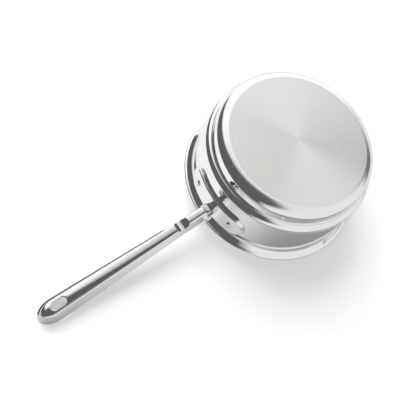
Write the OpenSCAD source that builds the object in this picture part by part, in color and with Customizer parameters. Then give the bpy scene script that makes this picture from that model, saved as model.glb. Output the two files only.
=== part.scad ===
// Upper pan of a double boiler: a stepped pan of spun sheet steel, with a cast
// stick handle whose curved bracket is riveted to the wall.
// Millimetres. The pan stands on its base with +Z up, and the handle points along +X.
// The origin is the centre of the underside of the base.

/* [Pan] */
// Height from the base to the top of the rim
pan_h = 93.6; // [88:0.2:130]
// Outer radius of the tall upper wall
upper_r = 96; // [94:0.2:110]
// How far the short lower wall, which hangs inside the pan below, is set in from the upper wall
step_in = 5.2; // [4.8:0.1:7]
// Thickness of the sheet
wall_t = 1.2; // [0.8:0.1:1.6]
// Radius of the corner between the base and the lower wall
corner_r = 12.2; // [8:0.2:14]
// Height of the ridge where the shoulder ends
ridge_h = 29.7; // [27:0.1:40]
// How far the ridge stands out from the upper wall
ridge_out = 1.1; // [0.4:0.1:1.8]
// Height of the straight land on the ridge
ridge_land = 1; // [0.5:0.1:3]
// Height over which the ridge falls back to the upper wall
ridge_fall = 1.6; // [1:0.1:4]
// Radius of the rounded shoulder that rests on the pan below
shoulder_r = 7; // [6.6:0.1:9]
// Radius of the small cove under the shoulder
cove_r = 1.2; // [0.8:0.1:2]
// Radius of the flare below the rim
flare_r = 5.5; // [3:0.5:6]
// How far the rim reaches out from the upper wall
rim_out = 7.8; // [7.6:0.1:12]
// Radius of the rolled bead along the rim
bead_r = 1.6; // [1.2:0.1:1.8]

/* [Dimples] */
// Number of pairs of dimples around the lower wall
dimple_pairs = 3; // [1:1:4]
// Angle between the two dimples of a pair
dimple_spread = 37.6; // [20:0.2:60]
// Direction of the first pair, from the handle
dimple_turn = -23.8; // [-60:0.2:60]
// Radius of a dimple where it leaves the wall
dimple_r = 2.6; // [1.5:0.1:3]
// How far a dimple stands out
dimple_out = 0.9; // [0.4:0.1:1.2]
// Height of the dimples' centres above the base
dimple_h = 13.4; // [12:0.1:16]

/* [Bracket] */
// Height of the lower edge of the bracket
bracket_h = 50.6; // [38:0.2:56]
// Height of the bracket, from its lower to its upper edge
bracket_w = 29.2; // [26:0.2:32]
// Length of the bracket, seen straight from the handle
bracket_l = 89; // [70:1:120]
// Thickness of the bracket
bracket_t = 3.7; // [2.5:0.1:5]

/* [Rivets] */
// Angle of each rivet from the handle
rivet_turn = 16.7; // [14:0.1:20]
// Radius of the rivet shank
rivet_r = 2.8; // [2:0.1:3.5]
// Radius of the domed head outside
head_r = 4; // [3.8:0.1:5]
// Height of the domed head outside
head_h = 1.9; // [1:0.1:3]
// Radius of the low flat head inside the pan
inner_head_r = 5.2; // [4:0.1:6.5]
// Height of the low flat head inside the pan
inner_head_h = 0.4; // [0.3:0.1:2]
// Clearance between a rivet and its holes
rivet_gap = 0.02; // [0.01:0.01:0.1]

/* [Handle] */
// Rise of the handle from level, in degrees
pitch = 12.8; // [5:0.2:20]
// Height of the handle's underside where it leaves the bracket, from the bracket's lower edge
root_rise = 19; // [4:0.5:22]
// Length of the handle from the face of the bracket to its tip
handle_l = 217.4; // [180:0.2:240]
// Depth of the handle at the bracket
neck_depth = 11; // [9:0.5:13]
// Depth of the handle at its tip
tip_depth = 16.5; // [12:0.5:18]
// Slope of the handle's side walls
side_draft = 17.5; // [8:0.5:20]
// Radius of the round underside of the neck
neck_r = 6.2; // [5.5:0.1:7]
// Radius of the round tip of the handle, at the level of its underside
tip_r = 8; // [7:0.1:11]
// Radius across the crowned underside of the grip
crown_r = 22; // [10:0.5:26]
// Distance of the channel's closed end from the face of the bracket
channel_x = 54; // [50:1:90]
// Radius of the channel's closed end, seen from above
channel_end_r = 6.5; // [4:0.5:8]
// Thickness of the floor of the channel
web_t = 2.8; // [2:0.1:4]
// Thickness of the side flanges
flange_t = 2.5; // [2:0.1:3.2]

/* [Neck] */
// Length of the squared block between the bracket and the round of the neck
block_l = 5.5; // [5:0.5:12]
// Half the width of the squared block
block_r = 5; // [4:0.1:5.4]
// How far the underside of the block is set back from the round of the neck
block_step = 1.3; // [0.5:0.1:2]
// Distance of the notch from the face of the bracket
notch_x = 36; // [32:0.5:44]
// Radius of the notch
notch_r = 12; // [8:0.5:16]
// Depth of the notch
notch_depth = 3; // [1:0.1:4]

/* [Hanging hole] */
// Distance from the tip of the handle to the middle of the hole
hole_x = 27; // [22:0.5:34]
// Length of the hole
hole_l = 20.4; // [14:0.2:24]
// Half the width of the hole
hole_r = 5.2; // [4:0.1:6]

/* [Hidden] */
$fn = 96;
steel = [0.80, 0.80, 0.79];
cast_steel = [0.74, 0.74, 0.73];
rivet_steel = [0.66, 0.66, 0.65];
// Length that carries a cutting shape past the surface that it cuts
over = 1;
lower_r = upper_r - step_in;
ridge_r = upper_r + ridge_out;
rim_r = upper_r + rim_out;
// Centre of the shoulder's arc, and of the cove's arc that touches it from outside
shoulder_x = ridge_r - shoulder_r;
cove_x = lower_r + cove_r;
cove_z = ridge_h - sqrt(pow(shoulder_r + cove_r, 2) - pow(cove_x - shoulder_x, 2));
wall_z = ridge_h + ridge_land + ridge_fall;
// The flare starts so that the edge of the sheet meets the middle of the bead
flare_z = pan_h - bead_r - wall_t / 2 - flare_r;
flare_x = upper_r + flare_r;
dimple_ball = (pow(dimple_r, 2) + pow(dimple_out, 2)) / (2 * dimple_out);
face_r = upper_r + bracket_t;
bracket_mid = bracket_h + bracket_w / 2;
root_h = bracket_h + root_rise;
draft_tan = tan(side_draft);
// Half the width between the neck's side walls at the level of its underside
neck_w = neck_r * (1 - sin(side_draft)) / cos(side_draft);
end_x = handle_l - tip_r - tip_depth * draft_tan;
// Angle of the grip's sides to its middle line
taper = asin((tip_r - neck_w) / (end_x - notch_x));

// Everything from the axis out to the pan's surface, up to the height top, set in by g
module pan_outline(g, top) {
    translate([0, g]) square([lower_r - corner_r, corner_r]);
    translate([0, corner_r]) square([lower_r - g, ridge_h - corner_r]);
    translate([lower_r - corner_r, corner_r]) circle(corner_r - g);
    difference() {
        polygon([[0, cove_z], [cove_x, cove_z], [shoulder_x, ridge_h], [0, ridge_h]]);
        translate([cove_x, cove_z]) circle(cove_r + g);
    }
    intersection() {
        translate([shoulder_x, ridge_h]) circle(shoulder_r - g);
        square([ridge_r, ridge_h]);
    }
    polygon([
        [0, ridge_h - over],
        [shoulder_x, ridge_h - over],
        [shoulder_x, ridge_h],
        [ridge_r - g, ridge_h],
        [ridge_r - g, ridge_h + ridge_land],
        [upper_r - g, wall_z],
        [upper_r - g, top],
        [0, top]
    ]);
}

// The sheet where it flares out, and the rolled bead along its edge
module rim_outline() {
    difference() {
        translate([flare_x, flare_z]) circle(flare_r + wall_t);
        translate([flare_x, flare_z]) circle(flare_r);
        translate([flare_x - 2 * rim_out, flare_z - 2 * rim_out]) square([4 * rim_out, 2 * rim_out]);
        translate([flare_x, flare_z - over]) square(3 * rim_out);
    }
    translate([flare_x, flare_z + flare_r]) square([rim_r - bead_r - flare_x, wall_t]);
    translate([rim_r - bead_r, pan_h - bead_r]) circle(bead_r);
}

module pan_sheet() {
    rotate_extrude() {
        difference() {
            pan_outline(0, flare_z);
            pan_outline(wall_t, flare_z + over);
        }
        rim_outline();
    }
}

// Puts its children at each dimple, with +X pointing out of the wall
module at_dimples() {
    for (pair = [0 : dimple_pairs - 1], side = [-1, 1])
        rotate(dimple_turn + pair * 360 / dimple_pairs + side * dimple_spread / 2)
            translate([lower_r + dimple_out - dimple_ball, 0, dimple_h])
                children();
}

module at_rivets() {
    for (side = [-1, 1]) at_rivet(side) children();
}

// Puts its children on the axis of one rivet, with +Z pointing out of the wall
module at_rivet(side) {
    rotate(side * rivet_turn) translate([0, 0, bracket_mid]) rotate([0, 90, 0]) children();
}

module rivet_bores() {
    at_rivets() translate([0, 0, upper_r / 2]) cylinder(r = rivet_r + rivet_gap, h = upper_r);
}

module pan() {
    color(steel) difference() {
        union() {
            pan_sheet();
            difference() {
                at_dimples() sphere(dimple_ball);
                cylinder(r = lower_r - wall_t, h = ridge_h);
            }
        }
        at_dimples() sphere(dimple_ball - wall_t);
        rivet_bores();
    }
}

// Curved plate that hugs the upper wall, with round ends
module bracket() {
    intersection() {
        difference() {
            cylinder(r = face_r, h = pan_h);
            translate([0, 0, -over]) cylinder(r = upper_r, h = pan_h + 2 * over);
        }
        translate([upper_r / 2, 0, bracket_mid]) rotate([0, 90, 0]) union() {
            for (side = [-1, 1])
                translate([0, side * (bracket_l - bracket_w) / 2, 0]) cylinder(d = bracket_w, h = upper_r);
            translate([-bracket_w / 2, -(bracket_l - bracket_w) / 2, 0])
                cube([bracket_w, bracket_l - bracket_w, upper_r]);
        }
    }
}

// Everything on the inner side of one sloping side wall, which is set in by g
module side_space(side, g) {
    height = tip_depth + over;
    translate([end_x, 0, 0])
        rotate([0, 0, side * taper])
            translate([0, side * (tip_r - g), 0])
                rotate([-side * side_draft, 0, 0])
                    translate([-handle_l, side > 0 ? -4 * tip_r : 0, -height])
                        cube([2 * handle_l, 4 * tip_r, 3 * height]);
}

// Space between the two side walls, set in by g, with a round end at the tip
module grip_sides(g) {
    height = tip_depth + over;
    intersection() {
        translate([notch_x, -2 * tip_r, 0]) cube([end_x - notch_x - tip_r * sin(taper), 4 * tip_r, height]);
        side_space(1, g);
        side_space(-1, g);
    }
    translate([end_x, 0, 0]) cylinder(r1 = tip_r - g, r2 = tip_r - g + height * draft_tan, h = height);
}

// Space above an underside of radius r from x0 to the tip, set in by g
module underside(r, g, x0) {
    side_z = r - (r - g) * sin(side_draft);
    translate([x0, 0, r]) rotate([0, 90, 0]) cylinder(r = r - g, h = handle_l - x0);
    translate([x0, -2 * tip_r, side_z]) cube([handle_l - x0, 4 * tip_r, tip_depth]);
}

module grip() {
    intersection() {
        grip_sides(0);
        underside(crown_r, 0, notch_x);
    }
}

// Round of the neck with its sloping sides, and the squared block at the bracket
module neck() {
    height = tip_depth + over;
    top_w = neck_w + height * draft_tan;
    intersection() {
        translate([block_l, 0, 0]) rotate([90, 0, 90]) linear_extrude(notch_x - block_l)
            polygon([[-neck_w, 0], [neck_w, 0], [top_w, height], [-top_w, height]]);
        underside(neck_r, 0, block_l);
    }
    translate([-bracket_t / 2, -block_r, block_step])
        cube([block_l + bracket_t, 2 * block_r, neck_depth - block_step]);
}

// The hollow along the top of the grip
module channel() {
    intersection() {
        grip_sides(flange_t);
        underside(crown_r, web_t, channel_x);
        union() {
            translate([channel_x + channel_end_r, 0, 0]) cylinder(r = channel_end_r, h = 2 * tip_depth);
            translate([channel_x + channel_end_r, -2 * tip_r, 0])
                cube([handle_l, 4 * tip_r, 2 * tip_depth]);
        }
    }
}

// The handle is cut off along a line that rises from the neck to the tip
module top_cut() {
    rotate([90, 0, 0]) translate([0, 0, -2 * tip_r]) linear_extrude(4 * tip_r)
        polygon([
            [-handle_l, neck_depth],
            [0, neck_depth],
            [handle_l, tip_depth],
            [handle_l + over, 3 * tip_depth],
            [-handle_l, 3 * tip_depth]
        ]);
}

module hanging_hole() {
    translate([handle_l - hole_x, 0, -over]) {
        for (side = [-1, 1])
            translate([side * (hole_l / 2 - hole_r), 0, 0]) cylinder(r = hole_r, h = tip_depth);
        translate([hole_r - hole_l / 2, -hole_r, 0]) cube([hole_l - 2 * hole_r, 2 * hole_r, tip_depth]);
    }
}

module notch() {
    translate([notch_x, 0, notch_depth - notch_r]) rotate([90, 0, 0])
        cylinder(r = notch_r, h = 4 * tip_r, center = true);
}

module handle() {
    color(cast_steel) difference() {
        union() {
            bracket();
            translate([face_r, 0, root_h]) rotate([0, -pitch, 0]) difference() {
                union() {
                    neck();
                    grip();
                }
                channel();
                hanging_hole();
                notch();
                top_cut();
            }
        }
        cylinder(r = upper_r, h = pan_h);
        rivet_bores();
    }
}

// Space within radius r of the pan's axis, as seen from a rivet
module inside_wall(r) {
    rotate([0, 90, 0]) cylinder(r = r, h = 4 * inner_head_r, center = true);
}

// A rivet along +Z: flat head set against the wall inside, shank, and domed head on the bracket
module rivet() {
    dome = (pow(head_r, 2) + pow(head_h, 2)) / (2 * head_h);
    inner_r = upper_r - wall_t;
    translate([0, 0, inner_r - inner_head_h]) cylinder(r = rivet_r, h = face_r + head_h / 2 - inner_r + inner_head_h);
    difference() {
        intersection() {
            translate([0, 0, face_r + head_h - dome]) sphere(dome);
            translate([0, 0, face_r - over]) cylinder(r = head_r, h = head_h + over);
        }
        inside_wall(face_r);
    }
    intersection() {
        translate([0, 0, inner_r - inner_head_h])
            cylinder(r1 = inner_head_r - inner_head_h, r2 = inner_head_r, h = inner_head_h);
        inside_wall(inner_r);
    }
}

module rivet_piece(side) {
    color(rivet_steel) at_rivet(side) rivet();
}

pan();
handle();
rivet_piece(1);  // rivet_left
rivet_piece(-1);  // rivet_right
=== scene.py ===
# %% [markdown]
# # The upper pan of a double boiler
# A polished steel insert lies upside down on a white table: a stepped pan that was
# spun from sheet, a cast stick handle, and two rivets that hold them together.
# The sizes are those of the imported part. This lesson builds smooth pieces over it, with
# a little more relief, gives them steel finishes, and sets up the table, the lights and
# the camera.

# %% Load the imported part
import math

import bmesh
import bpy
from mathutils import Matrix, Vector


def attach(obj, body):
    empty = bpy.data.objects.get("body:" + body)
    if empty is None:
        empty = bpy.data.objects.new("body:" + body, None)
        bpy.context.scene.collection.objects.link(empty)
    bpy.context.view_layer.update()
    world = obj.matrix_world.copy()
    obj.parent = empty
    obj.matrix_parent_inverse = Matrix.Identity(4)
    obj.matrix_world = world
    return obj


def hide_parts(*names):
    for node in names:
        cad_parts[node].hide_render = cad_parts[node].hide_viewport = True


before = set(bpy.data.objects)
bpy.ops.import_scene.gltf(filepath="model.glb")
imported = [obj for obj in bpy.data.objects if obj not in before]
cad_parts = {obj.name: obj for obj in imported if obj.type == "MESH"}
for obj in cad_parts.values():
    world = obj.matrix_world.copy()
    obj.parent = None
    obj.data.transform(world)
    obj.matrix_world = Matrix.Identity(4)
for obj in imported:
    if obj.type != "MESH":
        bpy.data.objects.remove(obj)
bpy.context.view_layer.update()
MM = 0.001
print("solids:", sorted(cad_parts))

# %% [markdown]
# ## Camera
# The real pan lies on its rim and on the tip of its handle for the picture, but in this
# file it stands upright, as it does on a shelf. It could be turned over, but the part
# has to stay in the frame that the other tools share. So the camera goes below the pan
# and looks up at it. Its place and its three axes were found by fitting the circles of
# the pan to the picture.

# %% Camera
CAMERA_PLACE = Vector((0.47616, -0.16180, -0.67436))
IMAGE_RIGHT = Vector((-0.78199, -0.56694, -0.25897))
IMAGE_DOWN = Vector((0.44335, -0.79799, 0.40823))
VIEW_AHEAD = Vector((-0.43810, 0.20442, 0.87538))
LENS = 69.916
SENSOR = 36
NEAREST = 0.01
FARTHEST = 20

scene = bpy.context.scene
camera = bpy.data.objects.new("camera", bpy.data.cameras.new("camera"))
scene.collection.objects.link(camera)
camera.data.sensor_width = SENSOR
camera.data.lens = LENS
camera.data.clip_start = NEAREST
camera.data.clip_end = FARTHEST
turn = Matrix((IMAGE_RIGHT, -IMAGE_DOWN, -VIEW_AHEAD)).transposed()
camera.matrix_world = Matrix.Translation(CAMERA_PLACE) @ turn.to_4x4()
scene.camera = camera
scene.view_settings.view_transform = "Standard"
print("distance to the base: %.3f m" % CAMERA_PLACE.length)

# %% [markdown]
# ## Helpers for node trees
# Materials, the world and Geometry Nodes are all made of nodes and links. They could be
# drawn by hand in the node editor, but a script can be read, repeated and changed. The
# first helper adds one node, sets its properties, and fills its inputs with numbers or
# with links. The others are short names for the nodes that come up again and again.

# %% Add a node
def add_node(tree, kind, *inputs, named=None, **settings):
    """Adds a node. Its inputs go by order, where None skips one, or by name."""
    node = tree.nodes.new(kind)
    for name, value in settings.items():
        setattr(node, name, value)
    pairs = list(zip(node.inputs, inputs))
    pairs += [(node.inputs[name], value) for name, value in (named or {}).items()]
    for socket, value in pairs:
        if isinstance(value, bpy.types.NodeSocket):
            tree.links.new(value, socket)
        elif value is not None:
            socket.default_value = value
    return node


# %% Short names for arithmetic
def math_node(tree, operation, *inputs):
    return add_node(tree, "ShaderNodeMath", *inputs, operation=operation).outputs[0]


def plus(tree, a, b):
    return math_node(tree, "ADD", a, b)


def minus(tree, a, b):
    return math_node(tree, "SUBTRACT", a, b)


def times(tree, a, b):
    return math_node(tree, "MULTIPLY", a, b)


def over(tree, a, b):
    return math_node(tree, "DIVIDE", a, b)


def larger(tree, a, b):
    return math_node(tree, "MAXIMUM", a, b)


def smaller(tree, a, b):
    return math_node(tree, "MINIMUM", a, b)


# %% Short names for ramps and vectors
def smooth_step(tree, value, low, high, start=0.0, end=1.0):
    """A soft ramp that gives start up to low, and end from high on."""
    ramp = add_node(tree, "ShaderNodeMapRange", value, low, high, start, end)
    ramp.interpolation_type = "SMOOTHSTEP"
    return ramp.outputs[0]


def join(tree, x=0.0, y=0.0, z=0.0):
    return add_node(tree, "ShaderNodeCombineXYZ", x, y, z).outputs[0]


def split(tree, vector):
    return add_node(tree, "ShaderNodeSeparateXYZ", vector).outputs


def vector_node(tree, operation, *inputs, result=0):
    node = add_node(tree, "ShaderNodeVectorMath", *inputs, operation=operation)
    return node.outputs[result]


def along(tree, vector, direction):
    """How far a vector goes in a fixed direction."""
    return vector_node(tree, "DOT_PRODUCT", vector, tuple(direction), result="Value")


def object_place(tree):
    return add_node(tree, "ShaderNodeTexCoord").outputs["Object"]


# %% [markdown]
# ## Directions over the table
# Polished steel has almost no colour of its own: it shows what stands around it. White
# boards could be modelled and set up round the pan, but they would also throw light and
# shadow. Here the studio is painted on the world by direction instead, where only
# reflections see it. A compass angle counts degrees to the right of straight ahead, as
# the camera looks, and a height counts degrees above the table. The table isn't level
# in this file: it touches the rim and the tip of the handle.

# %% Directions over the table
TABLE_TILT = math.radians(5.59)
TABLE_UP = Vector((math.sin(TABLE_TILT), 0, -math.cos(TABLE_TILT)))
table_right = (IMAGE_RIGHT - IMAGE_RIGHT.dot(TABLE_UP) * TABLE_UP).normalized()
table_away = TABLE_UP.cross(table_right).normalized()


def table_direction(compass, height):
    turn, rise = math.radians(compass), math.radians(height)
    level = table_right * math.sin(turn) + table_away * math.cos(turn)
    return level * math.cos(rise) + TABLE_UP * math.sin(rise)


camera_drop = math.degrees(math.asin(-VIEW_AHEAD.dot(TABLE_UP)))
print("the camera looks down by %.1f degrees" % camera_drop)

# %% Compass and height of every direction of the world
COMPASS_MIDDLE = 80

world = bpy.data.worlds.new("studio")
scene.world = world
world.use_nodes = True
tree = world.node_tree
tree.nodes.clear()
looking = add_node(tree, "ShaderNodeTexCoord").outputs["Generated"]
toward = along(tree, looking, table_direction(COMPASS_MIDDLE, 0))
beside = along(tree, looking, table_direction(COMPASS_MIDDLE + 90, 0))
compass = times(tree, math_node(tree, "ARCTAN2", beside, toward), 180 / math.pi)
compass = plus(tree, compass, COMPASS_MIDDLE)
height = math_node(tree, "ARCSINE", along(tree, looking, TABLE_UP))
height = times(tree, height, 180 / math.pi)
print("the compass jumps at %d degrees, in the dark part" % (COMPASS_MIDDLE + 180))

# %% [markdown]
# ## Panels
# A photographer lights bright metal with large white panels and leaves dark gaps
# between them, because the gaps draw the forms. Here the panels are soft steps on the
# world. The key panel is straight ahead. A paler one runs from the right round to the
# camera's side, where a low one joins it. The left is a dark room. Below the table is
# a soft ceiling, which only views from above the upright pan reflect.

# %% One panel
LEAN_STOPS = 52


def panel(left, right, top, soft, level, lean=0.0):
    """A panel with soft edges. Its left edge leans by lean degrees for each of height."""
    leaning = times(tree, smaller(tree, height, LEAN_STOPS), lean)
    rises = smooth_step(tree, plus(tree, compass, leaning), left - soft, left + soft)
    falls = smooth_step(tree, compass, right - soft, right + soft, 1, 0)
    below = smooth_step(tree, height, top - soft, top + soft, 1, 0)
    return times(tree, times(tree, times(tree, rises, falls), below), level)


# %% Panels
KEY_LEVEL = 1.12
FILL_LEVEL = 0.86

key_panel = panel(left=-26, right=42, top=86, soft=3, level=KEY_LEVEL, lean=0.5)
key_fade = smooth_step(tree, height, low=50, high=84, start=1, end=0.5)
fill_panel = panel(left=30, right=200, top=76, soft=4, level=FILL_LEVEL)
front_edge = smooth_step(tree, plus(tree, compass, height), low=205, high=238, start=1, end=0)
low_panel = panel(left=120, right=205, top=22, soft=10, level=FILL_LEVEL)
panels = larger(tree, times(tree, fill_panel, front_edge), times(tree, key_panel, key_fade))
panels = larger(tree, panels, low_panel)
print("nodes for the panels:", len(tree.nodes))

# %% [markdown]
# ## The dark gap on the right
# In the picture a thin black crescent runs down the right of the base's corner. It is
# the gap between two panels, so one slanted gap is cut in them. It is open only over
# part of the height, so that the base itself doesn't darken.

# %% Gap between the panels
GAP_MIDDLE = 80
GAP_SLANT = 0.67
ROOM_LEVEL = 0.115
CEILING_LEVEL = 0.75

slanted = plus(tree, compass, times(tree, height, GAP_SLANT))
from_middle = math_node(tree, "ABSOLUTE", minus(tree, slanted, GAP_MIDDLE))
lit_beside = smooth_step(tree, from_middle, low=8, high=12)
lit_above = smooth_step(tree, height, low=41, high=46, start=0.05, end=0.9)
lit_below = smooth_step(tree, height, low=2, high=9, start=1, end=0)
lit = larger(tree, larger(tree, lit_beside, lit_above), lit_below)
ceiling = smooth_step(tree, height, low=-75, high=-25, start=CEILING_LEVEL, end=0)
studio = larger(tree, larger(tree, times(tree, panels, lit), ROOM_LEVEL), ceiling)
print("nodes with the gap:", len(tree.nodes))

# %% [markdown]
# ## What each kind of ray sees
# Only reflections see the panels. The camera sees plain white behind the table, and
# dull surfaces are lit by an even grey. The Light Path node tells the rays apart.

# %% What each kind of ray sees
BACKGROUND_LEVEL = 1.0
SHADE_LEVEL = 0.32

rays = add_node(tree, "ShaderNodeLightPath").outputs
mirrored = larger(tree, rays["Is Glossy Ray"], rays["Is Transmission Ray"])
shaded = add_node(tree, "ShaderNodeMix", mirrored, None, SHADE_LEVEL, studio).outputs[0]
seen = add_node(tree, "ShaderNodeMix", rays["Is Camera Ray"], None, shaded, BACKGROUND_LEVEL)
backdrop = add_node(tree, "ShaderNodeBackground", (1, 1, 1, 1), seen.outputs[0])
add_node(tree, "ShaderNodeOutputWorld", backdrop.outputs[0])
print("world nodes:", len(tree.nodes))

# %% [markdown]
# ## Lamps
# A small lamp would give a hard shadow. In the picture the shadow is soft and falls
# towards the camera, so a large lamp stands high behind the pan on the left. A second
# lamp above the upright pan lights the shelf for views from above. Both are hidden from
# reflections, which see the panels instead.

# %% A soft lamp
PAN_MIDDLE = Vector((0.02, 0, 0.05))


def soft_lamp(name, place, width, height, watts):
    data = bpy.data.lights.new(name, "AREA")
    data.shape = "RECTANGLE"
    data.size = width
    data.size_y = height
    data.energy = watts
    lamp = bpy.data.objects.new(name, data)
    scene.collection.objects.link(lamp)
    lamp.location = place
    lamp.rotation_mode = "QUATERNION"
    lamp.rotation_quaternion = (place - PAN_MIDDLE).to_track_quat("Z", "Y")
    lamp.visible_glossy = False
    print("%s: %.1f m away, %d W" % (name, (place - PAN_MIDDLE).length, watts))


# %% Lamps
KEY_DISTANCE = 5.0
SHELF_LAMP_PLACE = Vector((-0.9, -0.9, 2.2))

key_place = PAN_MIDDLE + KEY_DISTANCE * table_direction(compass=-22, height=50)
soft_lamp("key_lamp", key_place, width=4.0, height=3.0, watts=212)
soft_lamp("shelf_lamp", SHELF_LAMP_PLACE, width=1.5, height=1.5, watts=60)

# %% [markdown]
# ## Tables
# There are two white tables. One is tilted against the rim and the tip of the handle,
# as in the picture. The other is level below the base, for views from above. Each is
# seen from its own side only, so that neither hides the pan from the other side.
# A white grip on a white table would lose its edge. So the table's material has a painted
# shadow beside it: a dark strip that only reflections see.

# %% The painted shadow beside the grip
STRIP_FROM = 0.139
STRIP_TO = 0.307
STRIP_SLOPE = 0.03
STRIP_MIDDLE = 0.0088
STRIP_HALF = 0.0113
STRIP_SOFT = 0.001
STRIP_DARK = 0.95


def painted_shade_strip(tree, place):
    """Painted shade: STRIP_DARK along the left side of the grip, and 0 elsewhere on the table."""
    x, y, z = split(tree, place)
    aside = minus(tree, minus(tree, y, times(tree, x, STRIP_SLOPE)), STRIP_MIDDLE)
    aside = math_node(tree, "ABSOLUTE", aside)
    strip = smooth_step(tree, aside, STRIP_HALF, STRIP_HALF + STRIP_SOFT, 1, 0)
    begins = smooth_step(tree, x, STRIP_FROM - STRIP_SOFT, STRIP_FROM)
    ends = smooth_step(tree, x, STRIP_TO, STRIP_TO + STRIP_SOFT, 1, 0)
    return times(tree, times(tree, times(tree, strip, begins), ends), STRIP_DARK)


print("the strip is %.0f mm long" % ((STRIP_TO - STRIP_FROM) / MM))


# %% What reflections see of the table in the picture
def seen_by_steel(tree, rays, place, tint, glow):
    """Reflections see painted shade, the front darker and the strip black, and painted light, the left a
    little brighter.
    """
    mirrored = rays["Is Glossy Ray"]
    toward_camera = along(tree, place, -table_away)
    # Painted shade: reflections see the table darker towards the camera, where the pan's shadow lies.
    painted_front_shade = smooth_step(tree, toward_camera, low=0.1, high=0.24, start=0, end=0.5)
    # Painted shade: the strip and the darker front are shade painted into the table for reflections.
    dark = times(tree, larger(tree, painted_front_shade, painted_shade_strip(tree, place)), mirrored)
    kept = minus(tree, 1.0, dark)
    to_right = along(tree, place, table_right)
    # Painted light: reflections see the table glow a little brighter on the left.
    lift = smooth_step(tree, to_right, low=-0.13, high=0.0, start=0.26, end=0.05)
    glow = larger(tree, glow, times(tree, mirrored, lift))
    return times(tree, tint, kept), times(tree, glow, kept)


# %% Seen from one side
def one_sided(tree, front):
    behind = add_node(tree, "ShaderNodeNewGeometry").outputs["Backfacing"]
    clear = add_node(tree, "ShaderNodeBsdfTransparent").outputs[0]
    return add_node(tree, "ShaderNodeMixShader", behind, front, clear).outputs[0]


# %% Paper of the tables
GRAIN = 400
CAMERA_GLOW = 0.4


def table_finish(name, in_picture):
    material = bpy.data.materials.new(name)
    material.use_nodes = True
    tree = material.node_tree
    tree.nodes.clear()
    rays = add_node(tree, "ShaderNodeLightPath").outputs
    place = object_place(tree)
    grain = add_node(tree, "ShaderNodeTexNoise", place, named={"Scale": GRAIN}).outputs[0]
    tint = add_node(tree, "ShaderNodeMapRange", grain, 0, 1, 0.80, 0.82).outputs[0]
    glow = times(tree, rays["Is Camera Ray"], CAMERA_GLOW)
    if in_picture:
        tint, glow = seen_by_steel(tree, rays, place, tint, glow)
    paper = add_node(tree, "ShaderNodeBsdfDiffuse", tint).outputs[0]
    light = add_node(tree, "ShaderNodeEmission", (1, 1, 1, 1), glow).outputs[0]
    front = add_node(tree, "ShaderNodeAddShader", paper, light).outputs[0]
    add_node(tree, "ShaderNodeOutputMaterial", one_sided(tree, front))
    print("%s has %d nodes" % (name, len(tree.nodes)))
    return material


# %% A flat ring
RING_STEPS = 96


def table_ring(name, centre, up, inner, outer, finish):
    """A flat ring. Its hole lies under the pan, where the camera never looks."""
    side = up.orthogonal().normalized()
    other = up.cross(side)
    points = []
    for radius in (inner, outer):
        for step in range(RING_STEPS):
            angle = 2 * math.pi * step / RING_STEPS
            points.append(centre + radius * (math.cos(angle) * side + math.sin(angle) * other))
    faces = []
    for k in range(RING_STEPS):
        ahead = (k + 1) % RING_STEPS
        faces.append((RING_STEPS + k, RING_STEPS + ahead, ahead, k))
    mesh = bpy.data.meshes.new(name)
    mesh.from_pydata(points, [], faces)
    mesh.materials.append(finish)
    table = bpy.data.objects.new(name, mesh)
    scene.collection.objects.link(table)
    table.visible_shadow = False
    table.visible_diffuse = False
    print("%s faces" % name, [round(x, 3) for x in mesh.polygons[0].normal])
    return table


# %% Lay the tables
RIM_FOOT = Vector((-103.8, 0, 93.8)) * MM
TABLE_REACH = 0.105
TABLE_HOLE, TABLE_EDGE = 0.085, 0.52
SHELF_PLACE = Vector((0.1, 0, -0.0006))
SHELF_HOLE, SHELF_EDGE = 0.0005, 1.2

middle = RIM_FOOT + TABLE_REACH * Vector((math.cos(TABLE_TILT), 0, math.sin(TABLE_TILT)))
paper = table_finish("white_table", True)
table_ring("table", middle, TABLE_UP, TABLE_HOLE, TABLE_EDGE, paper)
paper = table_finish("white_shelf", False)
shelf = table_ring("shelf", SHELF_PLACE, Vector((0, 0, 1)), SHELF_HOLE, SHELF_EDGE, paper)
shelf.visible_glossy = False
shelf.visible_transmission = False

# %% [markdown]
# ## Outline of the pan
# The real pan was spun from one sheet. It steps in below, to sit in the lower pan, and
# its rim is rolled to a bead. A Solidify modifier could give a sheet its thickness, but
# not the bead, which is thicker. So the whole outline is drawn: from the middle of the
# base up the outside, round the rim and back down the inside. The sizes repeat those of
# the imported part, in millimetres. The flare under the rim is a straight cone with a
# small bend before it, since that is how its reflection breaks in the picture.

# %% Sizes of the sheet
UPPER_R = 96
LOWER_R = 90.8
SHEET = 1.2
CORNER_R = 12.2
COVE_R = 1.2
SHOULDER_R = 7
RIDGE_R = 97.1
RIDGE_H = 29.7
LAND_TOP = 30.7
WALL_FROM = 32.3
BEND_H = 85.4
CONE_R = 101.1
CONE_H = 90.7
BEAD_R = 1.6
RIM_R = 103.8
RIM_TOP = 93.6
print("the step is %.1f mm wide, %.1f mm above the base" % (RIDGE_R - LOWER_R, RIDGE_H))

# %% Where the cove meets the wall
flat_r = LOWER_R - CORNER_R
shoulder_x = RIDGE_R - SHOULDER_R
cove_x = LOWER_R + COVE_R
cove_h = RIDGE_H - math.sqrt((SHOULDER_R + COVE_R) ** 2 - (cove_x - shoulder_x) ** 2)
cove_turn = math.degrees(math.atan2(RIDGE_H - cove_h, shoulder_x - cove_x))
print("flat base to %.1f mm, cove at %.2f mm" % (flat_r, cove_h))


# %% Straights, arcs and bends
def straight(start, end, steps):
    """Points after start, up to and with end."""
    reach_x, reach_h = end[0] - start[0], end[1] - start[1]
    shares = [k / steps for k in range(1, steps + 1)]
    return [(start[0] + reach_x * t, start[1] + reach_h * t) for t in shares]


def arc(x, h, radius, start, end, steps):
    """Points along an arc, by the angles in degrees of its two ends."""
    angles = [math.radians(start + (end - start) * k / steps) for k in range(steps + 1)]
    return [(x + radius * math.cos(a), h + radius * math.sin(a)) for a in angles]


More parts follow.
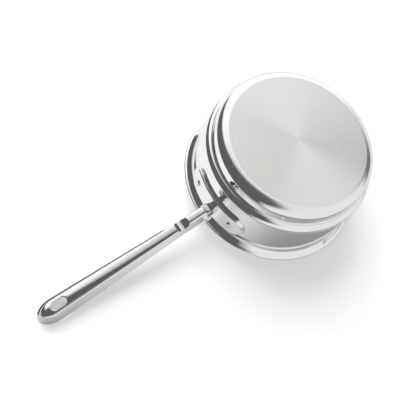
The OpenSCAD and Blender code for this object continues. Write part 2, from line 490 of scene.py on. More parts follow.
def bend(start, corner, end, steps):
    """Points along a curve that leaves start and reaches end in the corner's direction."""
    start, corner, end = Vector(start), Vector(corner), Vector(end)
    shares = [k / steps for k in range(steps + 1)]
    return [tuple((1 - t) ** 2 * start + 2 * t * (1 - t) * corner + t * t * end) for t in shares]


print("a bend's middle:", bend((0, 0), (1, 0), (1, 1), 2)[1])

# %% Outside of the sheet
EASE = 0.4
FOLD_IN = 0.35
FOLD_UP = 0.45
BEND_START = (UPPER_R, BEND_H - 1)
BEND_END = (UPPER_R + 0.7, BEND_H + 0.7)
BEAD_FROM, BEAD_TO = -68, 128

outline = [(0, 0)] + straight((0, 0), (flat_r - 0.6, 0), 40)
outline += arc(flat_r, CORNER_R, CORNER_R, -90, 0, 22)
outline += straight(outline[-1], (LOWER_R, cove_h - EASE), 6)
outline += arc(cove_x, cove_h, COVE_R, 180, cove_turn, 8)
outline += arc(shoulder_x, RIDGE_H, SHOULDER_R, cove_turn - 180, 0, 20)[1:]
outline += [(RIDGE_R, LAND_TOP - EASE), (RIDGE_R - 0.1, LAND_TOP)]
outline += [(RIDGE_R - FOLD_IN, LAND_TOP + FOLD_UP), (UPPER_R + FOLD_IN, WALL_FROM - FOLD_UP)]
outline += [(UPPER_R + 0.08, WALL_FROM), (UPPER_R, WALL_FROM + 0.5)]
outline += straight(outline[-1], BEND_START, 30)
outline += bend(BEND_START, (UPPER_R, BEND_H), BEND_END, 8)[1:]
outline += straight(outline[-1], (CONE_R, CONE_H), 8)
outline += arc(RIM_R - BEAD_R, RIM_TOP - BEAD_R, BEAD_R, BEAD_FROM, BEAD_TO, 18)
print("points on the outside and the rim:", len(outline))

# %% Inside of the sheet
INNER_R = UPPER_R - SHEET
CONE_IN, CONE_UP = 0.8, 0.9
INNER_BEND_START = (UPPER_R, BEND_H + 1.5)
INNER_BEND_CORNER = (INNER_R, BEND_H + 0.4)
INNER_BEND_END = (INNER_R, BEND_H - 1.2)

outline += [(CONE_R - CONE_IN, CONE_H + CONE_UP)]
outline += straight(outline[-1], INNER_BEND_START, 8)
outline += bend(INNER_BEND_START, INNER_BEND_CORNER, INNER_BEND_END, 8)[1:]
outline += straight(outline[-1], (INNER_R, WALL_FROM + 0.3), 30)
outline += [(INNER_R + 0.2, WALL_FROM - 0.1), (RIDGE_R - SHEET - 0.1, LAND_TOP)]
outline += arc(shoulder_x, RIDGE_H, SHOULDER_R - SHEET, 0, cove_turn - 180, 16)
outline += arc(cove_x, cove_h, COVE_R + SHEET, cove_turn, 180, 8)
outline += straight(outline[-1], (LOWER_R - SHEET, CORNER_R + EASE), 6)
outline += arc(flat_r, CORNER_R, CORNER_R - SHEET, 0, -90, 20)
outline += straight(outline[-1], (0.5, SHEET), 40) + [(0, SHEET)]
print("points on the whole outline:", len(outline))

# %% [markdown]
# ## Steel finishes
# Three things make steel look real here: how sharp its reflections are, fine lines
# left by the tool, and small changes in gloss. The lines run round the pan, because
# it was polished on the lathe, and along the handle, because it was polished by belt.
# An image of scratches could draw them, but it blurs from near by. Noise is worked out
# afresh at every point: it is stretched until its spots become lines.

# %% Start a steel finish
def steel(name, tint, rough, **more):
    material = bpy.data.materials.new(name)
    material.use_nodes = True
    shader = material.node_tree.nodes["Principled BSDF"]
    shader.inputs["Base Color"].default_value = (*tint, 1)
    shader.inputs["Metallic"].default_value = 1
    shader.inputs["Roughness"].default_value = rough
    for socket, value in more.items():
        shader.inputs[socket.replace("_", " ")].default_value = value
    return material, material.node_tree, shader


# %% Noise that drives gloss and relief
GROOVE_DEPTH = 0.0002


def noise(tree, place, scale, detail=2):
    spots = add_node(tree, "ShaderNodeTexNoise", place, named={"Scale": scale, "Detail": detail})
    return spots.outputs[0]


def spread(tree, spots, low, high, dark=0.3, light=0.7):
    """Noise seldom leaves the range from dark to light, so that range becomes low to high."""
    return add_node(tree, "ShaderNodeMapRange", spots, dark, light, low, high).outputs[0]


def gloss(tree, shader, rough):
    tree.links.new(rough, shader.inputs["Roughness"])


def engrave(tree, shader, lines, strength):
    depth = {"Strength": strength, "Distance": GROOVE_DEPTH, "Height": lines}
    bump = add_node(tree, "ShaderNodeBump", named=depth)
    tree.links.new(bump.outputs[0], shader.inputs["Normal"])


# %% Noise in rings
def round_place(tree, out, up):
    """A place whose noise makes rings: out and up say how fine, in rings per metre."""
    x, y, z = split(tree, object_place(tree))
    flat = join(tree, x, y)
    radius = vector_node(tree, "LENGTH", flat, result="Value")
    across = split(tree, vector_node(tree, "NORMALIZE", flat))
    rise = plus(tree, times(tree, radius, out), times(tree, z, up))
    return join(tree, across[0], across[1], rise)


# %% Spun steel of the pan
WORN_GLOSS = 0.13

polished, tree, shader = steel("spun_steel", (0.90, 0.895, 0.885), 0.05)
lines = noise(tree, round_place(tree, out=900, up=900), scale=1, detail=3)
corner_place = split(tree, object_place(tree))
worn = smooth_step(tree, corner_place[2], low=0.001, high=0.005, start=WORN_GLOSS, end=0)
gloss(tree, shader, plus(tree, spread(tree, lines, 0.035, 0.085), worn))
engrave(tree, shader, lines, 0.008)
print(polished.name, "has", len(tree.nodes), "nodes")

# %% [markdown]
# ## Brushed base
# The base was brushed in circles, so its highlight spreads across them as two bright
# wedges. Plain roughness would blur it evenly instead. Anisotropic gloss blurs it one
# way only. It needs to know the way of the lines, which the Tangent node gives: round
# the Z axis.

# %% Brushed base
WARM_GREY = (0.932, 0.92, 0.904)

brushed, tree, shader = steel(
    "brushed_base", (0.86, 0.855, 0.845), 0.3, Anisotropic=0.8, Anisotropic_Rotation=0.25
)
lines = noise(tree, round_place(tree, out=1400, up=0), scale=1.6, detail=6)
gloss(tree, shader, spread(tree, lines, 0.26, 0.36))
engrave(tree, shader, lines, 0.04)
grey = spread(tree, lines, 0.84, 0.88)
shades = add_node(tree, "ShaderNodeCombineColor", *[times(tree, grey, part) for part in WARM_GREY])
tree.links.new(shades.outputs[0], shader.inputs["Base Color"])
circles = add_node(tree, "ShaderNodeTangent", direction_type="RADIAL", axis="Z")
tree.links.new(circles.outputs[0], shader.inputs["Tangent"])
print(brushed.name, "has", len(tree.nodes), "nodes")

# %% [markdown]
# ## From a node tree to a plain mesh
# Geometry Nodes is a modifier: its shape exists only while Blender evaluates it. These
# helpers open a tree with named inputs, close it with its finish, run it once, and
# keep the result as a plain mesh that any program can read.

# %% Open and close a tree
def new_tree(name, **inputs):
    tree = bpy.data.node_groups.new(name, "GeometryNodeTree")
    tree.interface.new_socket("Geometry", in_out="INPUT", socket_type="NodeSocketGeometry")
    for title, kind in inputs.items():
        title = title.replace("_", " ")
        tree.interface.new_socket(title, in_out="INPUT", socket_type="NodeSocket" + kind)
    tree.interface.new_socket("Geometry", in_out="OUTPUT", socket_type="NodeSocketGeometry")
    return tree, tree.nodes.new("NodeGroupInput").outputs


def close_tree(tree, shape, material):
    made = add_node(tree, "GeometryNodeRealizeInstances", shape)
    smooth = add_node(tree, "GeometryNodeSetShadeSmooth", made.outputs[0])
    finish = add_node(tree, "GeometryNodeSetMaterial", smooth.outputs[0], named={"Material": material})
    add_node(tree, "NodeGroupOutput", finish.outputs[0])
    print("%s: %d nodes" % (tree.name, len(tree.nodes)))


# %% Keep the evaluated mesh
def evaluated_mesh(maker):
    bpy.context.view_layer.update()
    ready = maker.evaluated_get(bpy.context.evaluated_depsgraph_get())
    mesh = bpy.data.meshes.new_from_object(ready)
    bpy.data.objects.remove(maker)
    return mesh


def new_piece(name, mesh):
    piece = bpy.data.objects.new(name, mesh)
    scene.collection.objects.link(piece)
    return piece


# %% Run a tree once
def bake_tree(name, start_mesh, tree, **values):
    maker = new_piece(name + "_maker", start_mesh)
    modifier = maker.modifiers.new("maker", "NODES")
    modifier.node_group = tree
    sockets = {s.name: s.identifier for s in tree.interface.items_tree if s.in_out == "INPUT"}
    for title, value in values.items():
        modifier[sockets[title.replace("_", " ")]] = value
    mesh = evaluated_mesh(maker)
    mesh.name = name
    used = [finish for finish in mesh.materials if finish]
    mesh.materials.clear()
    for finish in used:
        mesh.materials.append(finish)
    for face in mesh.polygons:
        face.material_index = 0
    return new_piece(name, mesh)


# %% Clean a mesh
MERGE = 1e-6


def clean_mesh(piece, crease=None):
    """Merges doubles, turns the faces outwards, and keeps edges sharper than crease."""
    work = bmesh.new()
    work.from_mesh(piece.data)
    bmesh.ops.remove_doubles(work, verts=work.verts, dist=MERGE)
    bmesh.ops.recalc_face_normals(work, faces=work.faces)
    unclosed = [edge for edge in work.edges if len(edge.link_faces) != 2]
    volume = work.calc_volume() / MM ** 3
    work.to_mesh(piece.data)
    work.free()
    piece.data.shade_smooth()
    if crease:
        piece.data.set_sharp_from_angle(angle=math.radians(crease))
    counts = (piece.name, len(piece.data.polygons), len(unclosed), volume)
    print("%s: %d faces, %d edges not closed, %.0f mm3" % counts)


# %% Hang a piece on the root and hide its solids
def dress(piece, slot, *nodes):
    """Hangs the piece on the root body and hides the solids that it stands for; slot, its finish, is not
    used.
    """
    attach(piece, "root")
    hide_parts(*nodes)


# %% [markdown]
# ## The pan
# A spun pan is one outline turned about one axis. The Screw modifier could turn it too.
# A Geometry Nodes tree does it here, because its inputs have names and each step can be
# read. It lays out a grid, reads the outline point for each row of it, and bends it
# round the axis. Merge by Distance closes the seam and the middle of the base.

# %% Lathe tree
lathe, start = new_tree("lathe", Outline_Points="Int", Steps_Round="Int")
points, rounds = start["Outline Points"], start["Steps Round"]
grid = add_node(lathe, "GeometryNodeMeshGrid", 1, 1, plus(lathe, rounds, 1), points).outputs[0]
index = add_node(lathe, "GeometryNodeInputIndex").outputs[0]
column = math_node(lathe, "FLOOR", over(lathe, plus(lathe, index, 0.5), points))
row = math_node(lathe, "ROUND", minus(lathe, index, times(lathe, column, points)))
place = add_node(lathe, "GeometryNodeInputPosition").outputs[0]
source = {"Geometry": start["Geometry"], "Value": place, "Index": row}
kinds = {"data_type": "FLOAT_VECTOR", "domain": "POINT"}
drawn = split(lathe, add_node(lathe, "GeometryNodeSampleIndex", named=source, **kinds).outputs[0])
angle = times(lathe, over(lathe, column, rounds), 2 * math.pi)
turned_x = times(lathe, drawn[0], math_node(lathe, "COSINE", angle))
turned_y = times(lathe, drawn[0], math_node(lathe, "SINE", angle))
turned = {"Position": join(lathe, turned_x, turned_y, drawn[2])}
spun = add_node(lathe, "GeometryNodeSetPosition", grid, named=turned)
closed = add_node(lathe, "GeometryNodeMergeByDistance", spun.outputs[0], named={"Distance": MERGE})
close_tree(lathe, closed.outputs[0], polished)

# %% Spin the pan
STEPS_ROUND = 288
LOWEST = 0.00001

drawing = bpy.data.meshes.new("outline")
edges = [(k, k + 1) for k in range(len(outline) - 1)]
drawing.from_pydata([(x * MM, 0, h * MM) for x, h in outline], edges, [])
pan = bake_tree("spun_pan", drawing, lathe, Outline_Points=len(outline), Steps_Round=STEPS_ROUND)
clean_mesh(pan)
pan.data.materials.append(brushed)
for face in pan.data.polygons:
    if face.center.z < LOWEST and face.center.xy.length < flat_r * MM:
        face.material_index = 1
dress(pan, "polished_steel", "pan")

# %% [markdown]
# ## Copies round the axis
# Dimples and rivets both come several times round the pan. They could be placed one by
# one, but then a change has to be made to each. Here one shape is made on its own axis,
# and Instance on Points turns copies of it to face outwards.

# %% Copies round the axis
def copies_round(tree, shape, count, height, turn):
    """Each copy goes up by height, and its axis points outwards at the angle turn."""
    row = {"Count": count, "Offset": (0, 0, 0)}
    line = add_node(tree, "GeometryNodeMeshLine", named=row, mode="OFFSET").outputs[0]
    lift = {"Position": join(tree, z=height)}
    lifted = add_node(tree, "GeometryNodeSetPosition", line, named=lift).outputs[0]
    facing = {"Instance": shape, "Rotation": join(tree, 0.0, math.pi / 2, turn)}
    return add_node(tree, "GeometryNodeInstanceOnPoints", lifted, named=facing).outputs[0]


# %% [markdown]
# ## Dimples
# Small dimples are pressed out of the lower wall, so that steam can pass between the
# two pans. Pressing them into the mesh would need a much finer grid all round. So each
# is a soft round bump of its own, whose foot runs out flat on the wall. The picture
# shows one pair, and the tree repeats it: the number of pairs is a guess.

# %% One bump
SUNK = 0.0004

bumps, start = new_tree(
    "bumps", Pairs="Int", Spread="Float", First="Float",
    Height="Float", Wall="Float", Radius="Float", Out="Float"
)
ball = add_node(bumps, "GeometryNodeMeshUVSphere", 32, 48, 1.0).outputs[0]
x, y, z = split(bumps, add_node(bumps, "GeometryNodeInputPosition").outputs[0])
reach = over(bumps, math_node(bumps, "ARCCOSINE", larger(bumps, z, 0)), math.pi / 2)
wave = math_node(bumps, "COSINE", times(bumps, reach, math.pi))
swell = times(bumps, times(bumps, plus(bumps, wave, 1), 0.5), start["Out"])
rise = plus(bumps, swell, times(bumps, smaller(bumps, z, 0), SUNK))
outward = vector_node(bumps, "NORMALIZE", join(bumps, x, y))
wide = add_node(bumps, "ShaderNodeVectorMath", outward, operation="SCALE")
bumps.links.new(times(bumps, reach, start["Radius"]), wide.inputs["Scale"])
wide_x, wide_y, _ = split(bumps, wide.outputs[0])
swollen = {"Position": join(bumps, wide_x, wide_y, plus(bumps, rise, start["Wall"]))}
bump_one = add_node(bumps, "GeometryNodeSetPosition", ball, named=swollen).outputs[0]
print("nodes for one bump:", len(bumps.nodes))

# %% Turn the bumps into place
number = add_node(bumps, "GeometryNodeInputIndex").outputs[0]
pair = math_node(bumps, "FLOOR", over(bumps, plus(bumps, number, 0.5), 2))
side = minus(bumps, math_node(bumps, "MODULO", number, 2), 0.5)
turn = plus(bumps, start["First"], times(bumps, side, start["Spread"]))
turn = plus(bumps, turn, times(bumps, pair, over(bumps, 2 * math.pi, start["Pairs"])))
count = times(bumps, start["Pairs"], 2)
close_tree(bumps, copies_round(bumps, bump_one, count, start["Height"], turn), polished)

# %% Press the dimples
DIMPLE_PAIRS = 3
DIMPLE_SPREAD = 37.6
DIMPLE_TURN = -23.8
DIMPLE_H = 13.4
DIMPLE_R = 2.8
DIMPLE_OUT = 1.3
DIMPLE_SINK = 0.06

empty = bpy.data.meshes.new("start")
dimples = bake_tree(
    "dimples", empty, bumps, Pairs=DIMPLE_PAIRS, Spread=math.radians(DIMPLE_SPREAD),
    First=math.radians(DIMPLE_TURN), Height=DIMPLE_H * MM, Wall=(LOWER_R - DIMPLE_SINK) * MM,
    Radius=DIMPLE_R * MM, Out=DIMPLE_OUT * MM,
)
clean_mesh(dimples)
dress(dimples, "polished_steel", "pan")

# %% [markdown]
# ## The handle
# The handle is one casting: a curved plate, a short neck with a notch under it, and a
# grip that is hollow on top. A box could be modelled and subdivided, but the casting
# follows a rule: its section is an arch below, two leaning sides, and a channel on top.
# So half of that section is carried along one side, round the tip and back. All of it
# is drawn along the underside first, then tilted by PITCH and set at the plate.

# %% Place of the handle
FACE_R = 99.7
ROOT_H = 69.6
PITCH = 12.8
HANDLE_L = 217.4

pitch = math.radians(PITCH)
along_handle = Vector((math.cos(pitch), 0, math.sin(pitch)))
up_handle = Vector((-math.sin(pitch), 0, math.cos(pitch)))
root = Vector((FACE_R, 0, ROOT_H))


def on_handle(x, y, h):
    """A place by millimetres along, across and above the underside, as a place in metres."""
    return (root + x * along_handle + Vector((0, y, 0)) + h * up_handle) * MM


print("the tip is at", [round(value, 4) for value in on_handle(HANDLE_L, 0, 0)])

# %% Width and depth along the handle
NECK_FROM = 5.2
NECK_W = 4.55
NECK_DEPTH = 11
TIP_DEPTH = 16.5
TIP_R = 8.0
TIP_REACH = 7
END_X = 204.2 - TIP_REACH
NOTCH_X = 35.9


def half_width(x):
    return NECK_W + (TIP_R - NECK_W) * min(max((x - NOTCH_X) / (END_X - NOTCH_X), 0), 1)


def top_of(x):
    return NECK_DEPTH + (TIP_DEPTH - NECK_DEPTH) * x / HANDLE_L


print("half widths:", [round(half_width(x), 2) for x in (NECK_FROM, NOTCH_X, END_X)])

# %% Notch under the neck
NOTCH_R = 12
NOTCH_DEPTH = 3
NOTCH_BLEND = 3


def notch_at(x):
    """Height that the notch is cut to, or less than 0 away from it."""
    reach = NOTCH_R ** 2 - (x - NOTCH_X) ** 2
    return NOTCH_DEPTH - NOTCH_R + math.sqrt(reach) if reach > 0 else -1


def past_notch(x, before, behind):
    """Passes softly from one value to another at the notch."""
    t = min(max((x - NOTCH_X + NOTCH_BLEND) / (2 * NOTCH_BLEND), 0), 1)
    return before + (behind - before) * t * t * (3 - 2 * t)


print("the notch is %.1f mm deep" % notch_at(NOTCH_X))

# %% Arch of the underside, and where it meets the side
LEAN = math.tan(math.radians(17.5))


def arch(q, side, radius):
    return radius - math.sqrt(max(radius ** 2 - (q * side) ** 2, 0))


def meeting(x, side, radius, inset, lift):
    """Where the arch meets the leaning side: distance out, and height."""
    q = half_width(x) - inset
    for _ in range(30):
        h = radius - math.sqrt(max((radius - lift) ** 2 - (q * side) ** 2, 0.01))
        q = half_width(x) - inset + h * LEAN
    return q, h


# %% Underside
NECK_R = 18
CROWN_R = 22
FILLET = 0.9
NECK_FILLET = 1.6
TIP_FILLET = 5.0


def underside(x, turn):
    """From the middle of the underside out to the top of the fillet."""
    side = math.sin(turn)
    radius = past_notch(x, NECK_R, CROWN_R)
    reach = past_notch(x, NECK_FILLET, FILLET) + TIP_FILLET * math.cos(turn) ** 2
    q_edge, h_edge = meeting(x, side, radius, 0, 0)
    q_near = q_edge - reach
    near, corner = (q_near, arch(q_near, side, radius)), Vector((q_edge, h_edge))
    far = corner + Vector((LEAN, 1)).normalized() * reach
    points = [(q_near * k / 12, arch(q_near * k / 12, side, radius)) for k in range(12)]
    points += bend(near, corner, far, 10)
    notch = notch_at(x)
    if notch > 0:
        points = [(q, max(h, notch)) for q, h in points]
        h_last = points[-1][1]
        points[-1] = (half_width(x) + h_last * LEAN, h_last)
    return points


# %% Channel on top
CHANNEL_X = 54
CHANNEL_R = 6.5
CHANNEL_WIDENS = 0.5
FLANGE = 2.5
WEB = 2.8


def channel(x, side, q_in, h_in):
    """From the inner edge of the flange down to the middle of the channel's floor."""
    if x < CHANNEL_X:
        return [(0.0, h_in)] * 13
    past_end = x - CHANNEL_X - CHANNEL_R
    if past_end < 0:
        widest = CHANNEL_R * math.sqrt(max(1 - (past_end / CHANNEL_R) ** 2, 0))
    else:
        widest = CHANNEL_R + CHANNEL_WIDENS * past_end
    q_floor, h_floor = meeting(x, side, CROWN_R, FLANGE, WEB)
    q_in, q_floor = min(q_in, widest), min(q_floor, widest)
    points = [(q_in + (q_floor - q_in) * k / 4, h_in + (h_floor - h_in) * k / 4) for k in range(4)]
    across = [q_floor * (1 - k / 8) for k in range(9)]
    return points + [(q, WEB + arch(q, side, CROWN_R - WEB)) for q in across]


# %% Rounded corners
LIP_FILLET = 0.8


def rounded(points, spots, reach, steps):
    """Replaces the corners at spots by short bends."""
    result = []
    for k, point in enumerate(points):
        if k not in spots:
            result.append(point)
            continue
        corner = Vector(point)
        ends = []
        for other in (Vector(points[k - 1]), Vector(points[k + 1])):
            way = other - corner
            ends.append(corner + way.normalized() * min(reach, way.length * 0.45))
        result += bend(ends[0], corner, ends[1], steps)
    return result


# %% Half section
def half_section(x, turn):
    """Distance out and height of each point, from the middle below to the middle on top."""
    def top_at(q):
        return top_of(x + (q + TIP_REACH) * math.cos(turn))

    points = underside(x, turn)
    q_low, h_low = points[-1]
    h_top = top_at(half_width(x) + top_of(x) * LEAN)
    q_top = half_width(x) + h_top * LEAN
    points += [(q_low + (q_top - q_low) * k / 5, h_low + (h_top - h_low) * k / 5) for k in range(1, 5)]
    edge = len(points)
    q_in, h_in = q_top - FLANGE, top_at(q_top - FLANGE)
    points += [(q_top, h_top)] + channel(x, math.sin(turn), q_in, h_in)
    return rounded(points, (edge, edge + 1), LIP_FILLET, 4)


print("points in a half section:", len(half_section(END_X, 0)))

# %% [markdown]
# ## Carry the section round
# A curve with a bevel object could carry a section too, but it can only make it larger
# or smaller, and this one also changes its form. So each station works out its own.
# Stations stand close together where the form changes fast, at the notch and at the
# end of the channel, and wide apart on the plain grip. At the tip the section turns
# about END_X. The first and last rows meet at the neck, and one face closes them.

# %% Stations along the handle
def spaced(start, end, step):
    """Places from start, step apart, that stay below end."""
    return [start + step * k for k in range(math.ceil((end - start) / step)) if start + step * k < end]


NOTCH_REACH = 8.4
END_STEPS = 10
TURN_STEPS = 48
stops = spaced(NECK_FROM, NOTCH_X - NOTCH_REACH - 0.2, 0.4)
stops += spaced(NOTCH_X - NOTCH_REACH, NOTCH_X + NOTCH_REACH + 0.1, 0.35)
stops += spaced(47, CHANNEL_X - 0.3, 1.0) + [CHANNEL_X - 0.02]
stops += [CHANNEL_X + CHANNEL_R * (1 - math.cos(0.157 * k)) for k in range(1, END_STEPS + 1)]
stops += spaced(stops[-1] + 1.6, END_X - 0.5, 1.6)
stations = [(x, -math.pi / 2) for x in stops]
stations += [(END_X, -math.pi / 2 + math.pi * k / TURN_STEPS) for k in range(TURN_STEPS + 1)]
stations += [(x, math.pi / 2) for x in reversed(stops)]
print("stations:", len(stations))

# %% One row of points
SOFT_END = 1.0
END_SHRINK = 0.16
END_MIDDLE_H = NECK_DEPTH * 0.55


def station_row(x, turn):
    section = half_section(x, turn)
    row = [(x + (q + TIP_REACH) * math.cos(turn), q * math.sin(turn), h) for q, h in section]
    if x < NECK_FROM + SOFT_END:
        depth = 1 - math.sqrt(1 - (1 - (x - NECK_FROM) / SOFT_END) ** 2)
        shrink = END_SHRINK * depth
        row = [(a, b * (1 - shrink), c + (END_MIDDLE_H - c) * shrink) for a, b, c in row]
    return row


# %% From points to a piece
def mesh_piece(name, points, faces):
    mesh = bpy.data.meshes.new(name)
    mesh.from_pydata(points, [], faces)
    piece = new_piece(name, mesh)
    clean_mesh(piece)
    return piece


# %% Grip
def grip_mesh():
    rows = [station_row(x, turn) for x, turn in stations]
    points = [on_handle(*point) for row in rows for point in row]
    wide = len(rows[0])
    faces = []
    for r in range(len(rows) - 1):
        for k in range(wide - 1):
            a = r * wide + k
            faces.append((a, a + 1, a + wide + 1, a + wide))
    last = (len(rows) - 1) * wide
    faces.append(tuple(range(wide)) + tuple(last + k for k in range(wide - 2, 0, -1)))
    return points, faces


grip = mesh_piece("grip", *grip_mesh())

# %% [markdown]
# ## The hanging hole
# The pan hangs on a hook by this hole. The hole is cut by a Boolean. A Bevel modifier
# could round its lips afterwards, but it tears easily on the uneven edges that a
# Boolean leaves. So the cutter itself widens towards both faces.

# %% Faces between closed rings
def tube_faces(rings, count):
    """Four-sided faces between rings of count points that lie one after the other."""
    faces = []
    for ring in range(rings - 1):
        for k in range(count):
            a, b = ring * count + k, ring * count + (k + 1) % count
            faces.append((a, b, b + count, a + count))
    return faces


# %% Outline of the hole
HOLE_X = HANDLE_L - 27
HOLE_L = 18
HOLE_R = 4.0


def slot_point(turn, grow):
    reach = HOLE_R + grow
    shift = math.copysign(HOLE_L / 2 - HOLE_R, math.cos(turn))
    return HOLE_X + shift + reach * math.cos(turn), reach * math.sin(turn)


print("the hole is %.0f mm long and %.0f mm wide" % (HOLE_L, 2 * HOLE_R))

# %% Cutter for the hole
LIP = 1.2
LIP_TURNS = (0, 0.3, 0.6, 0.9, 1.2, 1.57)
CUT_BELOW, CUT_ABOVE = -2.5, 13
CUT_STEPS = 96


def hole_cutter():
    """Rings from below the handle to above it. Each has a face to follow, a rise and a growth."""
    lip = [(LIP * (1 - math.cos(t)), LIP * (1 - math.sin(t))) for t in LIP_TURNS]
    rings = [("flat", CUT_BELOW, LIP + 1.5)] + [("low", rise, grow) for rise, grow in lip]
    rings += [("high", -rise, grow) for rise, grow in reversed(lip)] + [("flat", CUT_ABOVE, LIP)]
    points = []
    for face, rise, grow in rings:
        for k in range(CUT_STEPS):
            x, y = slot_point(2 * math.pi * (k + 0.5) / CUT_STEPS, grow)
            heights = {"flat": 0, "low": arch(y, 1, CROWN_R), "high": arch(y, 1, CROWN_R - WEB) + WEB}
            points.append(on_handle(x, y, heights[face] + rise))
    first = (len(rings) - 1) * CUT_STEPS
    ends = [tuple(range(CUT_STEPS - 1, -1, -1)), tuple(range(first, first + CUT_STEPS))]
    return points, tube_faces(len(rings), CUT_STEPS) + ends


cutter = mesh_piece("cutter", *hole_cutter())

# %% Cut the hole
cut = grip.modifiers.new("hole", "BOOLEAN")
cut.object = cutter
cut.solver = "EXACT"
holed = evaluated_mesh(grip)
bpy.data.objects.remove(cutter)
print("grip with its hole:", len(holed.polygons), "faces")

# %% [markdown]
# ## The bracket
# The plate is bent to the wall and has round ends and softened edges. A flat plate
# could be bent by a modifier, but then its fit to the wall would be a matter of trial.
# It is drawn on the wall's own circle instead, as rings that follow its outline, each a
# little further in, down to its middle line. Two fine ridges round its edge catch the
# light as the seams of a casting do.

# %% Rings of the plate
BRACKET_H = 65.2
BRACKET_W = 29.2
BRACKET_L = 89
END_TURNS = 32
SIDE_STEPS = 20


def plate_ring(inset, radius):
    """One ring of the plate's outline, seen from the handle, wrapped round the pan."""
    shift = (BRACKET_L - BRACKET_W) / 2
    reach = max(BRACKET_W / 2 - inset, 0)
    flat = []
    for side, first in ((1, -math.pi / 2), (-1, math.pi / 2)):
        turns = [first + math.pi * k / END_TURNS for k in range(END_TURNS + 1)]
        flat += [(side * shift + reach * math.cos(turn), reach * math.sin(turn)) for turn in turns]
        steps = range(1, 2 * SIDE_STEPS)
        flat += [(side * shift * (1 - k / SIDE_STEPS), side * reach) for k in steps]
    return [Vector((math.sqrt(radius ** 2 - y ** 2), y, BRACKET_H + z)) * MM for y, z in flat]


print("points in a ring of the plate:", len(plate_ring(0, FACE_R)))

# %% Bracket
BACK_R = UPPER_R - 0.3
EDGE = 1.9
SEAMS = (96.2, 96.9)
SEAM_SHAPE = ((0, 0), (-0.14, 0.1), (-0.2, 0.2), (-0.14, 0.3), (0, 0.4))
EDGE_TURNS = (0.22, 0.45, 0.67, 0.9, 1.12, 1.35, 1.5708)
BACK_INSETS = (BRACKET_W / 2, 10.5, 5.5, 2, 0)
FRONT_INSETS = (2.6, 4, 5.5, 8, 10.5, 13, BRACKET_W / 2)

rings = [plate_ring(inset, BACK_R) for inset in BACK_INSETS]
for seam in SEAMS:
    rings += [plate_ring(out, seam + rise) for out, rise in SEAM_SHAPE]
rings += [plate_ring(0, FACE_R - EDGE)]
for turn in EDGE_TURNS:
    rings.append(plate_ring(EDGE * (1 - math.cos(turn)), FACE_R - EDGE * (1 - math.sin(turn))))
rings += [plate_ring(inset, FACE_R) for inset in FRONT_INSETS]
points = [point for ring in rings for point in ring]
bracket = mesh_piece("bracket", points, tube_faces(len(rings), len(rings[0])))

# %% [markdown]
# ## Block and flange
# Between the plate and the neck the real casting has a squared block below, and a wider
# flange above. The block's dark colour is painted shade. Both are boxes with rounded
# edges. A Bevel modifier could round them, but the bevel of bmesh does it at once and
# leaves a plain mesh to join.

# %% A box with rounded edges
def soft_box(name, x_span, half, h_span, edge):
    """A box on the handle with rounded edges."""
    points = [on_handle(x, y, h) for x in x_span for y in (-half, half) for h in h_span]
    faces = [(0, 1, 3, 2), (4, 6, 7, 5), (0, 4, 5, 1), (2, 3, 7, 6), (0, 2, 6, 4), (1, 5, 7, 3)]
    box = mesh_piece(name, points, faces)
    work = bmesh.new()
    work.from_mesh(box.data)
    shape = {"segments": 4, "profile": 0.5, "affect": "EDGES"}
    bmesh.ops.bevel(work, geom=work.edges[:], offset=edge * MM, **shape)
    work.to_mesh(box.data)
    work.free()
    return box


# %% Cast the block and the flange
BLOCK_X, FLANGE_X = (-3, NECK_FROM + 0.8), (-1.5, NECK_FROM + 1.2)
BLOCK_HALF, FLANGE_HALF = 5, 7.7
BLOCK_H, FLANGE_H = (1.3, 10.8), (7.4, top_of(3) - 0.1)
BLOCK_EDGE, FLANGE_EDGE = 0.5, 0.6

block = soft_box("block", BLOCK_X, BLOCK_HALF, BLOCK_H, BLOCK_EDGE)
flange = soft_box("flange", FLANGE_X, FLANGE_HALF, FLANGE_H, FLANGE_EDGE)
for face in block.data.polygons:
    face.material_index = 1

# %% [markdown]
# ## Finish of the handle
# The casting was polished along its length, so its fine lines run from the bracket to
# the tip. The pan's finish would draw rings across the grip. So the handle has its own,
# and a Mapping node turns the pattern to the slope of the handle. The block gets a
# dark, grainy colour, which is painted shade.

# %% Polished casting
cast, tree, shader = steel("polished_casting", (0.88, 0.875, 0.865), 0.1)
slope = {"Rotation": (0, pitch, 0), "Scale": (14, 900, 900)}
sloped = add_node(tree, "ShaderNodeMapping", object_place(tree), named=slope).outputs[0]
lines = noise(tree, sloped, scale=1, detail=4)
gloss(tree, shader, spread(tree, lines, 0.06, 0.13))
engrave(tree, shader, lines, 0.03)
print(cast.name, "has", len(tree.nodes), "nodes")

# %% Painted shade on the block
# Painted shade: the block's dark colour stands in for its shade and the dark it reflects.
shade_paint, tree, shader = steel("block_painted_shade", (0.16, 0.155, 0.15), 0.38)
sandy = noise(tree, object_place(tree), scale=1100, detail=4)
gloss(tree, shader, spread(tree, sandy, 0.28, 0.55))
shade = spread(tree, sandy, 0.06, 0.3, dark=0.35, light=0.65)
tree.links.new(shade, shader.inputs["Base Color"])
print(shade_paint.name, "has", len(tree.nodes), "nodes")

# %% Join the casting
handle = new_piece("cast_handle", holed)
work = bmesh.new()
work.from_mesh(holed)
for part in (bracket, block, flange):
    work.from_mesh(part.data)
    bpy.data.objects.remove(part)
work.to_mesh(holed)
work.free()
clean_mesh(handle, crease=35)
holed.materials.clear()
holed.materials.append(cast)
holed.materials.append(shade_paint)
dress(handle, "cast_steel", "handle")

# %% [markdown]
# ## Rivets
# Each rivet has a domed head on the bracket, a shank through both pieces, and a low
# flat head inside the pan. A ball and two cylinders make one, and they could be set by
# hand six times over. One tree makes a rivet on its own axis instead and turns two
# copies of it into place. Their dull gloss comes from the hammer that set them.

# %% Rivet finish
riveted, tree, shader = steel("dull_rivets", (0.80, 0.795, 0.785), 0.14)
hammered = noise(tree, object_place(tree), scale=700)
gloss(tree, shader, spread(tree, hammered, 0.1, 0.2))
print(riveted.name, "has", len(tree.nodes), "nodes")

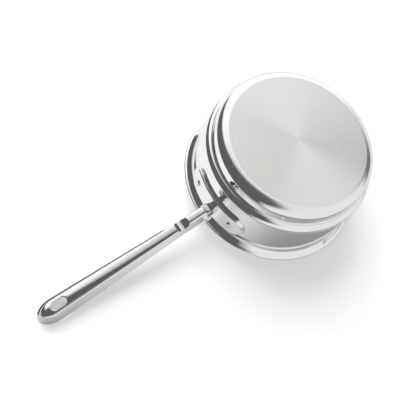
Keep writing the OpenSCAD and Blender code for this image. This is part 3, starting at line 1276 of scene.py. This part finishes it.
# %% A cylinder in a tree
DOME_STEPS = 48


def disc(tree, radius, depth, height):
    """A cylinder on the rivet's axis, with its middle at height."""
    shape = add_node(tree, "GeometryNodeMeshCylinder", DOME_STEPS, 1, 1, radius, depth).outputs[0]
    place = {"Translation": join(tree, z=height)}
    return add_node(tree, "GeometryNodeTransform", shape, named=place).outputs[0]


# %% One rivet
setting, start = new_tree(
    "rivets", Turn="Float", Height="Float", Face="Float", Head_Radius="Float", Head_Height="Float",
    Shank_Radius="Float", Inner_Face="Float", Inner_Head_Radius="Float", Inner_Head_Height="Float"
)
face, inner_face = start["Face"], start["Inner Face"]
head_r, low_h = start["Head Radius"], start["Inner Head Height"]
ball = add_node(setting, "GeometryNodeMeshUVSphere", DOME_STEPS, 32, 1.0).outputs[0]
head_size = join(setting, head_r, head_r, start["Head Height"])
squash = {"Translation": join(setting, z=face), "Scale": head_size}
dome = add_node(setting, "GeometryNodeTransform", ball, named=squash).outputs[0]
halfway = times(setting, plus(setting, face, inner_face), 0.5)
shank = disc(setting, start["Shank Radius"], minus(setting, face, inner_face), halfway)
low_place = minus(setting, inner_face, times(setting, low_h, 0.5))
low = disc(setting, start["Inner Head Radius"], low_h, low_place)
whole = setting.nodes.new("GeometryNodeJoinGeometry")
for part in (dome, shank, low):
    setting.links.new(part, whole.inputs[0])
print("nodes for one rivet:", len(setting.nodes))

# %% Turn the rivets into place
number = add_node(setting, "GeometryNodeInputIndex").outputs[0]
side = minus(setting, times(setting, number, 2), 1)
turn = times(setting, side, start["Turn"])
close_tree(setting, copies_round(setting, whole.outputs[0], 2, start["Height"], turn), riveted)

# %% Set the rivets
RIVET_TURN = 16.7
RIVET_H = 65.2
HEAD_R = 4
HEAD_H = 1.9
SHANK_R = 2.8
INNER_HEAD_R = 5.2
INNER_HEAD_H = 0.4

rivets = bake_tree(
    "rivets", empty, setting, Turn=math.radians(RIVET_TURN), Height=RIVET_H * MM, Face=FACE_R * MM,
    Head_Radius=HEAD_R * MM, Head_Height=HEAD_H * MM, Shank_Radius=SHANK_R * MM, Inner_Face=INNER_R * MM,
    Inner_Head_Radius=INNER_HEAD_R * MM, Inner_Head_Height=INNER_HEAD_H * MM,
)
clean_mesh(rivets, crease=40)
dress(rivets, "rivet_steel", "rivet_left", "rivet_right")
